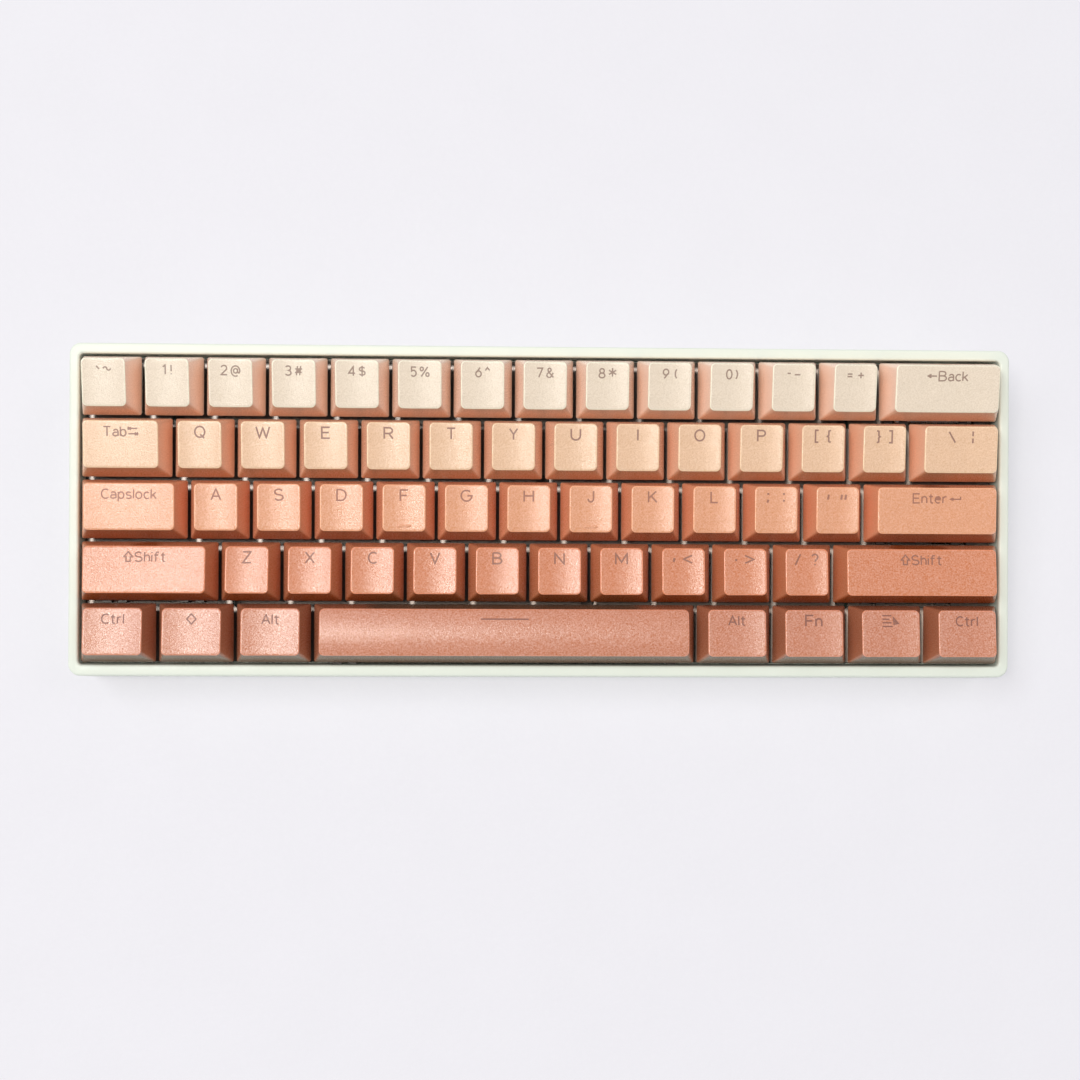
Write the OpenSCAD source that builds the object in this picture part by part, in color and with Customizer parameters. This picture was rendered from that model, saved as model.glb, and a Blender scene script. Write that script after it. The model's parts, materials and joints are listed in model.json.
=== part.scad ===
// Sixty percent mechanical keyboard: 61 keys on a plate, in a one-piece wedge tray.
// Millimetres. X runs left to right, Y front to back, Z up.
// The origin is the bottom centre of the keyboard, on the desk it stands on.

/* [Key field] */
// Centre-to-centre distance of neighbouring one-unit keys
key_pitch = 19.05; // [18.95:0.05:19.15]
// Gap between the skirts of neighbouring keycaps
cap_gap = 0.9; // [0.8:0.05:1.1]
// Distance that a key travels when it is pressed home
key_travel = 4; // [3:0.1:4]
// Slope of the key field, rising to the back
typing_angle = 6; // [4:0.5:7]

/* [Keycaps] */
// How far a keycap's top is narrower than its skirt, on each side
cap_side_inset = 2.475; // [2:0.025:2.8]
// Thickness of a keycap's side walls
cap_wall = 1.3; // [1:0.05:1.4]
// Thickness of a keycap's roof at the bottom of its dish
cap_roof = 1.5; // [1.2:0.1:1.6]
// Depth of the hollow dish across a keycap's top
dish_depth = 0.85; // [0.5:0.05:1]
// Height of the space bar's crown above its top edges
space_crown = 1.1; // [0.5:0.1:1.4]

/* [Tray] */
// Width of the tray's rim, seen from above
rim_w = 3.1; // [2.8:0.1:4]
// Gap between the key field and the tray's opening
field_gap = 0.35; // [0.3:0.05:0.6]
// Height of the rim above the top of the switch plate
rim_rise = 7.5; // [6.5:0.1:8]
// Height of the rim above the desk at the front
front_height = 20.5; // [20.5:0.5:24]
// Thickness of the tray's floor
floor_t = 2.5; // [2:0.1:2.6]
// Outer corner radius of the tray
corner_r = 3.6; // [3:0.1:5]

/* [Feet] */
// How far the rubber feet stand out below the tray
foot_proud = 1.5; // [1:0.1:2]
// Distance of the flip-out feet from the middle
flip_x = 98; // [85:1:100]
// Length of a flip-out foot from its hinge to its tip
flip_len = 20; // [16:0.5:20]

/* [Hidden] */
NODES = [
    "case_tray", "switch_plate", "circuit_board",
    "switch_lower_housings", "switch_upper_housings", "switch_springs", "switch_contacts",
    "key_leds", "board_components", "usb_socket", "stabiliser_housings",
    "case_screws", "rubber_feet", "left_flip_foot", "right_flip_foot",
    "backspace_wire", "enter_wire", "left_shift_wire", "right_shift_wire", "space_bar_wire",
    "number_row_keys", "backspace_key",
    "tab_key", "q_key", "w_key", "e_key", "r_key", "t_key", "y_key", "u_key", "i_key", "o_key", "p_key",
    "backslash_key",
    "caps_lock_key", "a_key", "s_key", "d_key", "f_key", "g_key", "h_key", "j_key", "k_key", "l_key",
    "enter_key",
    "left_shift_key", "z_key", "x_key", "c_key", "v_key", "b_key", "n_key", "m_key",
    "right_shift_key",
    "left_ctrl_key", "diamond_key", "left_alt_key", "space_bar",
    "punctuation_keys", "right_modifier_keys"
];
$fn = 48;
eps = 0.01;

// Key widths of each row in key units, from left to right; row 0 is at the back
ROW_UNITS = [
    [for (i = [0:12]) 1, 2],
    [1.5, for (i = [0:11]) 1, 1.5],
    [1.75, for (i = [0:10]) 1, 2.25],
    [2.25, for (i = [0:9]) 1, 2.75],
    [1.25, 1.25, 1.25, 6.25, 1.25, 1.25, 1.25, 1.25]
];
// The node that each key belongs to
ROW_NODES = [
    [for (i = [0:12]) "number_row_keys", "backspace_key"],
    ["tab_key", "q_key", "w_key", "e_key", "r_key", "t_key", "y_key", "u_key", "i_key", "o_key", "p_key",
        "punctuation_keys", "punctuation_keys", "backslash_key"],
    ["caps_lock_key", "a_key", "s_key", "d_key", "f_key", "g_key", "h_key", "j_key", "k_key", "l_key",
        "punctuation_keys", "punctuation_keys", "enter_key"],
    ["left_shift_key", "z_key", "x_key", "c_key", "v_key", "b_key", "n_key", "m_key",
        "punctuation_keys", "punctuation_keys", "punctuation_keys", "right_shift_key"],
    ["left_ctrl_key", "diamond_key", "left_alt_key", "space_bar",
        for (i = [0:3]) "right_modifier_keys"]
];
ROW_COLOURS = ["#F2E1C9", "#F5CDB0", "#F0AA85", "#EBA083", "#DC9C82"];
// Keycap shape of each row: height of the top's front edge and back edge above the skirt,
// then the inset of the front edge and the back edge from the skirt
ROW_SHAPES = [
    [9.6, 11.8, 1.95, 1.8],
    [8.4, 9.7, 2.4, 1.35],
    [8.1, 8.5, 2.55, 1.2],
    [9.3, 8.1, 2.5, 1.25],
    [9.3, 8.1, 2.7, 1.05]
];

// Switches: heights are above the top of the plate
plate_t = 1.5;
cutout = 14;
flange_w = 15.6;
flange_t = 0.8;
housing_top = 6.6;
board_gap = 5;
board_t = 1.6;
cavity_w = 11.6;
cavity_floor = -board_gap + 1;
post_d = 4;
post_end = -8.3;
pole_d = 2.4;
shoulder_z = 6.6;
cross_len = 4;
cross_h = 3.6;
cross_t = [1.17, 1.3];
boss_d = 5.6;
slider = [7.1, 5.7];
spring_d = 4.4;
spring_top = 4.6;
pin_spots = [[-3.81, 2.54], [2.54, 5.08]];
pin_d = 0.9;
led_y = -5.08;
run = 0.15;
skirt_z = 6.3;

// Stabilisers: the wire's bar lies across the front of a wide key, just above the plate
wire_d = 1.6;
wire_y = -8.8;
wire_z = 0.9;
wire_tilt = asin(key_travel / 2 / -wire_y);
stab_slider = 5.7;
stab_wall = 0.7;
stab_w = stab_slider + 2 * run + 2 * stab_wall;
stab_front = -5.6;
stab_nose = -9.8;
stab_back = 5;
stab_top = 5.5;
stab_bottom = -4;

// Sizes worked out from the ones above
field_w = 15 * key_pitch;
field_d = 5 * key_pitch;
opening_w = field_w + 2 * field_gap;
opening_d = field_d + 2 * field_gap;
case_w = opening_w + 2 * rim_w;
case_d = opening_d + 2 * rim_w;
rear_height = front_height + case_d * tan(typing_angle);
rim_mid_z = (front_height + rear_height) / 2;
floor_z = foot_proud + floor_t;
ledge_z = -plate_t - 0.7;
plate_y = rim_rise * sin(typing_angle);
plate_z = rim_mid_z - rim_rise * cos(typing_angle);
low_front_wall = 4.5;
low_rear_wall = 2.9;
screw_spots = [[1.5, 1], [12.5, 1], [7.5, 2], [2.5, 4], [8.25, 4], [12.5, 4]];
screw_d = 2;
screw_head = [3.8, 1.3];
screw_len = 6;
standoff_d = 6;
board_d = field_d - 3.2;
board_w = field_w - 1.2;
board_bottom = -board_gap - board_t;
usb_x = -6.5 * key_pitch;
usb = [8.94, 7.3, 3.2];
usb_mouth_y = board_d / 2 + 0.5;
usb_z = board_bottom - usb[2] / 2;
usb_hole = [12.4, 6.6];
foot_pad = [22, 8, 0.8];
pad_x = 127;
pad_y = case_d / 2 - 8.5;
flip_w = 16.4;
flip_t = 4;
flip_pin_d = 2.6;
flip_pin_len = 1.2;
flip_y = case_d / 2 - 8.9;
flip_z = foot_proud + 3.5;
pocket_w = 17;
pocket_d = flip_len + 7;
pocket_h = 7.2;

// Width before key c in row r, in units, then the key's centre
function units_before(r, c) = c == 0 ? 0 : units_before(r, c - 1) + ROW_UNITS[r][c - 1];
function key_x(r, c) = (units_before(r, c) + ROW_UNITS[r][c] / 2) * key_pitch - field_w / 2;
function key_y(r) = (2 - r) * key_pitch;
// Distance of the stabilisers from a wide key's middle
function stab_x(units) = units > 6 ? 50 : 11.938;
function is_wide(units) = units >= 2;
function spot_x(units) = units * key_pitch - field_w / 2;
function spot_y(units) = field_d / 2 - units * key_pitch;

// The tilted frame of the key field: Z = 0 is the top of the plate
module on_plate() {
    translate([0, plate_y, plate_z]) rotate([typing_angle, 0, 0]) children();
}

module at_every_key() {
    for (r = [0:4], c = [0:len(ROW_UNITS[r]) - 1]) translate([key_x(r, c), key_y(r), 0]) children();
}

module at_every_stabiliser() {
    for (r = [0:4], c = [0:len(ROW_UNITS[r]) - 1])
        if (is_wide(ROW_UNITS[r][c]))
            for (side = [-1, 1])
                translate([key_x(r, c) + side * stab_x(ROW_UNITS[r][c]), key_y(r), 0])
                    mirror([side < 0 ? 1 : 0, 0, 0]) children();
}

module at_every_screw() {
    for (s = screw_spots) translate([spot_x(s[0]), spot_y(s[1]), 0]) children();
}

// A box centred on X and Y that runs from z1 to z2
module block(w, d, z1, z2) {
    translate([-w / 2, -d / 2, z1]) cube([w, d, z2 - z1]);
}

// A box centred on X between two Y values and two Z values
module slab(w, y1, y2, z1, z2) {
    translate([-w / 2, y1, z1]) cube([w, y2 - y1, z2 - z1]);
}

module rod(d, z1, z2) {
    translate([0, 0, z1]) cylinder(d = d, h = z2 - z1);
}

// A rod along X, centred
module cross_rod(d, length) {
    translate([-length / 2, 0, 0]) rotate([0, 90, 0]) cylinder(d = d, h = length);
}

module rounded_rect(w, d, r) {
    square([w - 2 * r, d], center = true);
    square([w, d - 2 * r], center = true);
    for (x = [-1, 1], y = [-1, 1]) translate([x * (w / 2 - r), y * (d / 2 - r)]) circle(r);
}

// A square block that narrows upwards
module taper(w1, w2, z1, z2) {
    intersection() {
        rotate([90, 0, 0]) linear_extrude(w1 + 2, center = true)
            polygon([[-w1 / 2, z1], [w1 / 2, z1], [w2 / 2, z2], [-w2 / 2, z2]]);
        rotate([90, 0, 90]) linear_extrude(w1 + 2, center = true)
            polygon([[-w1 / 2, z1], [w1 / 2, z1], [w2 / 2, z2], [-w2 / 2, z2]]);
    }
}

// ---- Tray ----

// The wedge that the tray is cut from, with a bevelled bottom edge
module tray_wedge() {
    bevel = 1.6;
    side = [
        [-case_d / 2 + bevel, foot_proud], [case_d / 2 - bevel, foot_proud],
        [case_d / 2, foot_proud + bevel], [case_d / 2, rear_height],
        [-case_d / 2, front_height], [-case_d / 2, foot_proud + bevel]
    ];
    front = [
        [-case_w / 2 + bevel, foot_proud], [case_w / 2 - bevel, foot_proud],
        [case_w / 2, foot_proud + bevel], [case_w / 2, rear_height + 1],
        [-case_w / 2, rear_height + 1], [-case_w / 2, foot_proud + bevel]
    ];
    intersection() {
        linear_extrude(rear_height + 1) rounded_rect(case_w, case_d, corner_r);
        rotate([90, 0, 90]) linear_extrude(case_w + 2, center = true) polygon(side);
        rotate([90, 0, 0]) linear_extrude(case_d + 2, center = true) polygon(front);
    }
}

// The room for the plate and keys, square to the plate, and the room for the board below it
module tray_room() {
    low_d = case_d - low_front_wall - low_rear_wall;
    on_plate() translate([0, 0, ledge_z]) linear_extrude(rim_rise + 10) rounded_rect(opening_w, opening_d, 1.3);
    intersection() {
        translate([0, (low_front_wall - low_rear_wall) / 2, floor_z])
            linear_extrude(rear_height) rounded_rect(opening_w, low_d, 1.3);
        on_plate() block(case_w, case_d, -rear_height, ledge_z + eps);
    }
}

// Posts that the board stands on, and the block over each flip-out foot's pocket
module tray_inside() {
    intersection() {
        union() {
            on_plate() at_every_screw() rod(standoff_d, -rear_height, board_bottom);
            for (side = [-1, 1])
                translate([side * flip_x, 0, 0])
                    slab(pocket_w + 4, flip_y + 4 - pocket_d - 2, case_d / 2 - low_rear_wall + eps,
                        0, foot_proud + pocket_h + 1.8);
        }
        block(case_w - 2 * rim_w, case_d - 2 * low_rear_wall + 2 * eps, floor_z - 1, rear_height);
    }
}

module case_tray() {
    color("#F4F6EC") difference() {
        union() {
            difference() {
                tray_wedge();
                tray_room();
            }
            tray_inside();
        }
        on_plate() at_every_screw() rod(screw_d + 0.04, board_bottom - screw_len + board_t - 0.2, 0);
        on_plate() translate([usb_x, case_d / 2, usb_z]) rotate([90, 0, 0])
            linear_extrude(16, center = true) rounded_rect(usb_hole[0], usb_hole[1], 2);
        for (x = [-1, 1], y = [-1, 1])
            translate([x * pad_x, y * pad_y, foot_proud - 1]) linear_extrude(1 + foot_pad[2])
                rounded_rect(foot_pad[0] + 0.2, foot_pad[1] + 0.2, foot_pad[1] / 2);
        for (side = [-1, 1]) translate([side * flip_x, 0, 0]) {
            slab(pocket_w, flip_y + 4 - pocket_d, flip_y + 4, 0, foot_proud + pocket_h);
            translate([0, flip_y, flip_z]) cross_rod(flip_pin_d + 0.1, flip_w + 2 * flip_pin_len + 0.4);
        }
    }
}

module rubber_feet() {
    color("#3A3A38") for (x = [-1, 1], y = [-1, 1])
        translate([x * pad_x, y * pad_y, 0]) linear_extrude(foot_proud + foot_pad[2])
            rounded_rect(foot_pad[0], foot_pad[1], foot_pad[1] / 2 - 0.1);
}

// A leg with a hinge barrel, two pins in the pocket's walls and a hollow underside with a rib
module flip_foot(side) {
    color("#E9EBE1") translate([side * flip_x, flip_y, flip_z]) difference() {
        union() {
            slab(flip_w, -flip_len, 0, -flip_t / 2, flip_t / 2);
            cross_rod(flip_t + 1, flip_w);
            cross_rod(flip_pin_d, flip_w + 2 * flip_pin_len);
        }
        for (half = [-1, 1]) translate([half * flip_w / 4, 0, 0])
            slab(flip_w / 2 - 2.4, -flip_len + 3, -4, 0.4, flip_t);
        for (groove = [0.7, 1.9]) translate([0, -flip_len + groove, -flip_t / 2]) cross_rod(0.6, flip_w + 1);
    }
}

module left_flip_foot() {
    flip_foot(-1);
}

module right_flip_foot() {
    flip_foot(1);
}

// ---- Plate, board and what stands on them ----

module switch_plate() {
    color("#EDEFEA") on_plate() difference() {
        translate([0, 0, -plate_t]) linear_extrude(plate_t) rounded_rect(field_w - 0.4, field_d - 0.4, 1);
        at_every_key() block(cutout, cutout, -plate_t - 1, 1);
        at_every_stabiliser() slab(stab_w + 0.2, wire_y - 0.1, stab_back + 0.1, -plate_t - 1, 1);
        at_every_screw() rod(screw_head[0] + 0.4, -plate_t - 1, 1);
    }
}

module circuit_board() {
    color("#1E3B2C") on_plate() difference() {
        translate([0, 0, board_bottom]) linear_extrude(board_t) rounded_rect(board_w, board_d, 1);
        at_every_key() {
            rod(post_d + 0.2, board_bottom - 1, -board_gap + 1);
            for (p = pin_spots) translate(p) rod(pin_d + 0.3, board_bottom - 1, -board_gap + 1);
        }
        at_every_screw() rod(screw_d + 0.2, board_bottom - 1, -board_gap + 1);
    }
}

module case_screws() {
    color("silver") on_plate() at_every_screw() difference() {
        union() {
            rod(screw_head[0], -board_gap, -board_gap + screw_head[1]);
            rod(screw_d, -board_gap - screw_len, -board_gap + eps);
        }
        for (turn = [0, 90]) rotate(turn) block(2.2, 0.6, -board_gap + 0.6, 0);
    }
}

module key_leds() {
    color("#F7F3D8") on_plate() at_every_key() translate([0, led_y, 0]) {
        block(3.2, 2.6, -board_gap, -board_gap + 1);
        rod(2.2, -board_gap + 1 - eps, -board_gap + 1.4);
    }
}

// Diodes, the controller and the lamp driver, on the underside of the board
module board_components() {
    color("#2B2B2D") on_plate() {
        at_every_key() translate([5.6, -2, 0]) block(1.6, 2.7, board_bottom - 1.1, board_bottom);
        for (chip = [[5, 10], [8.75, 8]]) translate([spot_x(chip[0]), key_y(4), 0])
            block(chip[1], chip[1], board_bottom - 1.3, board_bottom);
        for (i = [0:4]) translate([spot_x(4.1) + i * 2.6, key_y(4) - 7.4, 0])
            block(1, 1.6, board_bottom - 0.6, board_bottom);
        for (i = [0:4]) translate([spot_x(8.3) + i * 2.6, key_y(4) - 6.6, 0])
            block(1, 1.6, board_bottom - 0.6, board_bottom);
        translate([spot_x(5.65), key_y(4) - 1, 0]) block(2.5, 3.2, board_bottom - 0.9, board_bottom);
        translate([usb_x, usb_mouth_y - usb[1] - 2.4, 0]) block(3, 1.6, board_bottom - 1.1, board_bottom);
    }
}

// A flat-sided oval shell with a tongue inside, lying under the board's back edge
module usb_socket() {
    color("silver") on_plate() translate([usb_x, usb_mouth_y, usb_z]) rotate([90, 0, 0]) {
        difference() {
            linear_extrude(usb[1]) rounded_rect(usb[0], usb[2], usb[2] / 2 - 0.05);
            translate([0, 0, -1]) linear_extrude(usb[1])
                rounded_rect(usb[0] - 0.6, usb[2] - 0.6, usb[2] / 2 - 0.35);
        }
        translate([-3.35, -0.35, 0.6]) cube([6.7, 0.7, usb[1] - 1]);
    }
}

// ---- Switches ----

module lower_housing() {
    difference() {
        union() {
            block(cutout - 0.1, cutout - 0.1, -board_gap, eps);
            block(flange_w, flange_w, 0, flange_t);
            rod(post_d, post_end, -board_gap + eps);
        }
        block(cavity_w, cavity_w, cavity_floor, flange_t + 1);
        rod(pole_d + 0.1, post_end + 0.25, cavity_floor + eps);
        for (p = pin_spots) translate(p) rod(pin_d + 0.2, -board_gap - 1, cavity_floor + eps);
        slab(3.6, led_y - 1.5, led_y + 1.5, -board_gap - 1, cavity_floor + 0.6);
    }
}

module upper_housing() {
    difference() {
        taper(flange_w - 0.7, 10.9, flange_t, housing_top);
        taper(12.8, 9.8, flange_t - eps, housing_top - 1.2);
        block(slider[0] + 2 * run, slider[1] + 2 * run, housing_top - 2, housing_top + 1);
        slab(4.2, -8, -4.5, flange_t + 0.8, housing_top + 1);
    }
}

// Two bent leaves that face each other, each on a pin through the board
module contact_pair() {
    leaf_top = 0.3;
    translate(pin_spots[0]) rod(pin_d, post_end + 0.1, cavity_floor + 0.3);
    slab_at = [pin_spots[0][0] - 0.8, pin_spots[0][1] - 0.45];
    translate([slab_at[0], slab_at[1], cavity_floor]) cube([1.6, 2, 0.3]);
    translate([slab_at[0], 3.85, cavity_floor]) cube([6.2, 0.3, leaf_top - cavity_floor]);
    translate(pin_spots[1]) rod(pin_d, post_end + 0.1, cavity_floor + 0.3);
    translate([-1.6, pin_spots[1][1] - 0.15, cavity_floor]) cube([6.2, 0.3, leaf_top - cavity_floor]);
}

// The cross that a keycap is pushed onto, standing on a shoulder
module stem_cross() {
    block(cross_len, cross_t[0], shoulder_z - eps, shoulder_z + cross_h);
    block(cross_t[1], cross_len, shoulder_z - eps, shoulder_z + cross_h);
}

// The moving stem of a switch: a block with a ring-shaped seat for the spring and a guide pole
module switch_stem() {
    difference() {
        block(slider[0], slider[1], 3, shoulder_z);
        rod(spring_d + 0.5, 2, spring_top);
    }
    rod(pole_d, cavity_floor + 0.05, spring_top + 0.3);
    slab(1.6, slider[1] / 2 - eps, 3.65, key_travel + cavity_floor + 0.2, 3.6);
    stem_cross();
}

// The moving stem of a stabiliser, with a slot that the wire's arm reaches into
module stabiliser_stem() {
    slot_mid = wire_z + key_travel / 2;
    difference() {
        block(stab_slider, stab_slider, 0.2, shoulder_z);
        slab(wire_d + 0.2, -stab_slider, 0.6, slot_mid - 1.5, slot_mid + 1.5);
    }
    stem_cross();
}

// A stabiliser's fixed housing: a channel for the stem, and a nose that the wire's bar turns in
module stabiliser_housing() {
    nose_top = 2.1;
    difference() {
        union() {
            slab(stab_w, stab_front, stab_back, stab_bottom, stab_top);
            slab(stab_w, stab_nose, stab_front + eps, 0, nose_top);
            slab(stab_w, stab_back - eps, stab_back + 1.6, 0, 1.2);
        }
        block(stab_slider + 2 * run, stab_slider + 2 * run, stab_bottom - 1, stab_top + 1);
        slab(wire_d + 0.6, -11, 0, -2.2, 4.2);
        translate([-stab_w / 2, wire_y, wire_z]) cross_rod(wire_d + 0.1, stab_w);
    }
}

module switch_lower_housings() {
    color("#F0F0EC") on_plate() at_every_key() lower_housing();
}

module switch_upper_housings() {
    color("#E4E8E6") on_plate() at_every_key() upper_housing();
}

// Each spring's room, from the cavity's floor to its seat in the stem
module switch_springs() {
    color("silver") on_plate() at_every_key() difference() {
        rod(spring_d, cavity_floor, spring_top);
        rod(spring_d - 0.6, cavity_floor - 1, spring_top + 1);
    }
}

module switch_contacts() {
    color("goldenrod") on_plate() at_every_key() contact_pair();
}

module stabiliser_housings() {
    color("#E6E6E0") on_plate() at_every_stabiliser() stabiliser_housing();
}

// A bar with an arm at each end, bent up to the stems that it joins
module wire(r, c) {
    reach = stab_x(ROW_UNITS[r][c]);
    color("silver") on_plate() translate([key_x(r, c), key_y(r) + wire_y, wire_z]) rotate([wire_tilt, 0, 0]) {
        cross_rod(wire_d, 2 * reach);
        for (side = [-1, 1]) translate([side * reach, 0, 0]) {
            sphere(d = wire_d);
            rotate([-90, 0, 0]) cylinder(d = wire_d, h = -wire_y);
        }
    }
}

// ---- Keycaps ----

// A keycap's side profile, grown inwards by wall at the sides and down by roof at the top
module cap_side_profile(r, wall, roof) {
    s = ROW_SHAPES[r];
    half = (key_pitch - cap_gap) / 2;
    foot = wall > 0 ? -1 : 0;
    front_h = s[0] - roof;
    back_h = s[1] - roof;
    polygon([
        [-half + wall + s[2] * foot / s[0], foot],
        [half - wall - s[3] * foot / s[1], foot],
        [half - wall - s[3] * back_h / s[1], back_h],
        [-half + wall + s[2] * front_h / s[0], front_h]
    ]);
}

// A keycap's front profile; lean is the inset of each side for each millimetre of height
module cap_front_profile(half, wall, lean, top) {
    foot = wall > 0 ? -1 : 0;
    polygon([
        [-half + wall + lean * foot, foot], [half - wall - lean * foot, foot],
        [half - wall - lean * top, top], [-half + wall + lean * top, top]
    ]);
}

// The solid between a keycap's two profiles
module cap_solid(r, half, wall, roof) {
    s = ROW_SHAPES[r];
    lean = cap_side_inset / ((s[0] + s[1]) / 2);
    intersection() {
        rotate([90, 0, 90]) linear_extrude(2 * half + 2, center = true) cap_side_profile(r, wall, roof);
        rotate([90, 0, 0]) linear_extrude(key_pitch + 2, center = true)
            cap_front_profile(half, wall, lean, max(s[0], s[1]) + 0.1);
    }
}

// The cylinder that hollows a keycap's top from side to side, parallel to the sloping top.
// It is a little wider than the top, so that it takes away the whole flat.
module cap_dish(r, half) {
    s = ROW_SHAPES[r];
    top_half = half - cap_side_inset + 0.5;
    radius = (top_half * top_half + dish_depth * dish_depth) / (2 * dish_depth);
    top_mid_y = (s[2] - s[3]) / 2;
    slope = atan((s[1] - s[0]) / (key_pitch - cap_gap - s[2] - s[3]));
    translate([0, top_mid_y, (s[0] + s[1]) / 2]) rotate([slope, 0, 0])
        translate([0, 0, radius - dish_depth]) rotate([90, 0, 0])
            cylinder(r = radius, h = 2 * key_pitch, center = true, $fn = 180);
}

// The space bar's crowned top: a cylinder along X through the top's two edges
module space_crown_rod(r) {
    s = ROW_SHAPES[r];
    half = (key_pitch - cap_gap) / 2;
    front = [-half + s[2], s[0] - space_crown / 2];
    back = [half - s[3], s[1] - space_crown / 2];
    chord = norm(back - front);
    radius = (chord * chord / 4 + space_crown * space_crown) / (2 * space_crown);
    slope = atan((back[1] - front[1]) / (back[0] - front[0]));
    middle = (front + back) / 2;
    translate([0, middle[0], middle[1]]) rotate([slope, 0, 0])
        translate([0, 0, space_crown - radius]) rotate([0, 90, 0])
            cylinder(r = radius, h = 8 * key_pitch, center = true, $fn = 180);
}

// The hollow post under a keycap that grips a stem's cross
module cap_boss(top) {
    difference() {
        rod(boss_d, shoulder_z + 0.05 - skirt_z, top);
        translate([0, 0, -skirt_z]) {
            block(cross_len + 0.06, cross_t[0] + 0.06, shoulder_z - 1, shoulder_z + cross_h + 0.1);
            block(cross_t[1] + 0.06, cross_len + 0.06, shoulder_z - 1, shoulder_z + cross_h + 0.1);
        }
    }
}

module keycap(r, c) {
    units = ROW_UNITS[r][c];
    half = (units * key_pitch - cap_gap) / 2;
    s = ROW_SHAPES[r];
    mid_h = (s[0] + s[1]) / 2;
    roof = cap_roof + dish_depth;
    posts = is_wide(units) ? [-stab_x(units), 0, stab_x(units)] : [0];
    difference() {
        intersection() {
            cap_solid(r, half, 0, 0);
            linear_extrude(20) rounded_rect(2 * half + 0.2, key_pitch - cap_gap + 0.2, 1);
            if (units > 6) space_crown_rod(r);
        }
        cap_solid(r, half, cap_wall, roof);
        if (units < 6) cap_dish(r, half);
    }
    for (x = posts) translate([x, 0, 0]) cap_boss(mid_h - roof + 0.9);
    if (ROW_NODES[r][c] == "f_key" || ROW_NODES[r][c] == "j_key") homing_bar(r);
}

// The raised bar near the front edge of the F and J keycaps
module homing_bar(r) {
    s = ROW_SHAPES[r];
    bar_y = -(key_pitch - cap_gap) / 2 + s[2] + 1.7;
    translate([0, bar_y, s[0] + 0.05 - dish_depth]) cross_rod(0.9, 4.4);
}

// One key as it moves: the keycap, its switch stem and, on a wide key, two stabiliser stems
module key(r, c) {
    units = ROW_UNITS[r][c];
    translate([key_x(r, c), key_y(r), 0]) {
        color(ROW_COLOURS[r]) translate([0, 0, skirt_z]) keycap(r, c);
        color("#8A5A44") switch_stem();
        if (is_wide(units)) color("#D8D8D2")
            for (side = [-1, 1]) translate([side * stab_x(units), 0, 0]) stabiliser_stem();
    }
}

module keys_of(name) {
    on_plate() for (r = [0:4], c = [0:len(ROW_UNITS[r]) - 1])
        if (ROW_NODES[r][c] == name) key(r, c);
}

case_tray();
switch_plate();
circuit_board();
switch_lower_housings();
switch_upper_housings();
switch_springs();
switch_contacts();
key_leds();
board_components();
usb_socket();
stabiliser_housings();
case_screws();
rubber_feet();
left_flip_foot();
right_flip_foot();
wire(0, 13);  // backspace_wire
wire(2, 12);  // enter_wire
wire(3, 0);  // left_shift_wire
wire(3, 11);  // right_shift_wire
wire(4, 3);  // space_bar_wire
for (name = NODES) keys_of(name);
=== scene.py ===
"""Looks of a sixty percent mechanical keyboard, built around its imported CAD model."""
import json
import math

import bmesh
import bpy
import numpy as np
from mathutils import Matrix, Vector
from mathutils.geometry import delaunay_2d_cdt


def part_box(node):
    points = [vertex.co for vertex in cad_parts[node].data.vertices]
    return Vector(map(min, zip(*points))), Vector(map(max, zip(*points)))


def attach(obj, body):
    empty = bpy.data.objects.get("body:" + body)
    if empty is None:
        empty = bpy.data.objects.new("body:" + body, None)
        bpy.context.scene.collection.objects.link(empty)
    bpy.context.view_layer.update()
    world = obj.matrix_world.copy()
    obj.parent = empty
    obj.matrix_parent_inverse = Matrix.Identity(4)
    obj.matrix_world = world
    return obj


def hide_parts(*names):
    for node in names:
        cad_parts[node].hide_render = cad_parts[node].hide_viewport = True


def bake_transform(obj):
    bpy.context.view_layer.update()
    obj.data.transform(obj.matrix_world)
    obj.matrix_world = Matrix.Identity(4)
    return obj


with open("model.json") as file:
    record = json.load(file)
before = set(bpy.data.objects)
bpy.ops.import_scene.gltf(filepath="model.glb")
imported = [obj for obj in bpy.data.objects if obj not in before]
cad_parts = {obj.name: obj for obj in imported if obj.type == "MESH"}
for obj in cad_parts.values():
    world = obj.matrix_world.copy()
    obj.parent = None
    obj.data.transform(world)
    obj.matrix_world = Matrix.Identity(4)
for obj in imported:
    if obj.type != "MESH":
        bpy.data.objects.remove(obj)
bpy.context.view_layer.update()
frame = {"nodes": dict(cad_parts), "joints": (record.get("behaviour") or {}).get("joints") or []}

MM = 0.001

# ---- Keycap shapes, in millimetres, as in the CAD model ----

# Height of the top's front and back edge above the skirt, then the inset of each from the skirt.
# The rows run from the back of the keyboard to the front.
ROW_SHAPES = [
    (9.6, 11.8, 1.95, 1.8),
    (8.4, 9.7, 2.4, 1.35),
    (8.1, 8.5, 2.55, 1.2),
    (9.3, 8.1, 2.5, 1.25),
    (9.3, 8.1, 2.7, 1.05),
]
SIDE_INSET = 2.475
DISH_DEPTH = 0.85
# How far the dish's curve goes on past the top's side edges
DISH_OVERRUN = 0.5
CROWN = 1.1
CAP_WALL = 1.3
CAP_ROOF = 1.5
SKIRT_RADIUS = 0.65
TOP_RADIUS = 1.5
SMALLEST_RADIUS = 0.3
EDGE_RADIUS = 0.42
SKIRT_CHAMFER = 0.15

# The post under a cap starts above the skirt's foot, ends inside the roof and holds the stem's cross
BOSS_DIAMETER = 5.6
POST_LIFT = 0.35
POST_SUNK = 0.6
SOCKET_LENGTH = 4.06
SOCKET_WIDTH = 1.3
SOCKET_DEPTH = 3.7

# Caps wider than these have stabilisers, and are the space bar
STABILISED_WIDTH = 36
SPACE_BAR_WIDTH = 100
# Distance of a stabiliser's post from the middle of its cap
STABILISER_REACH = 11.938
SPACE_BAR_REACH = 50

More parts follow.
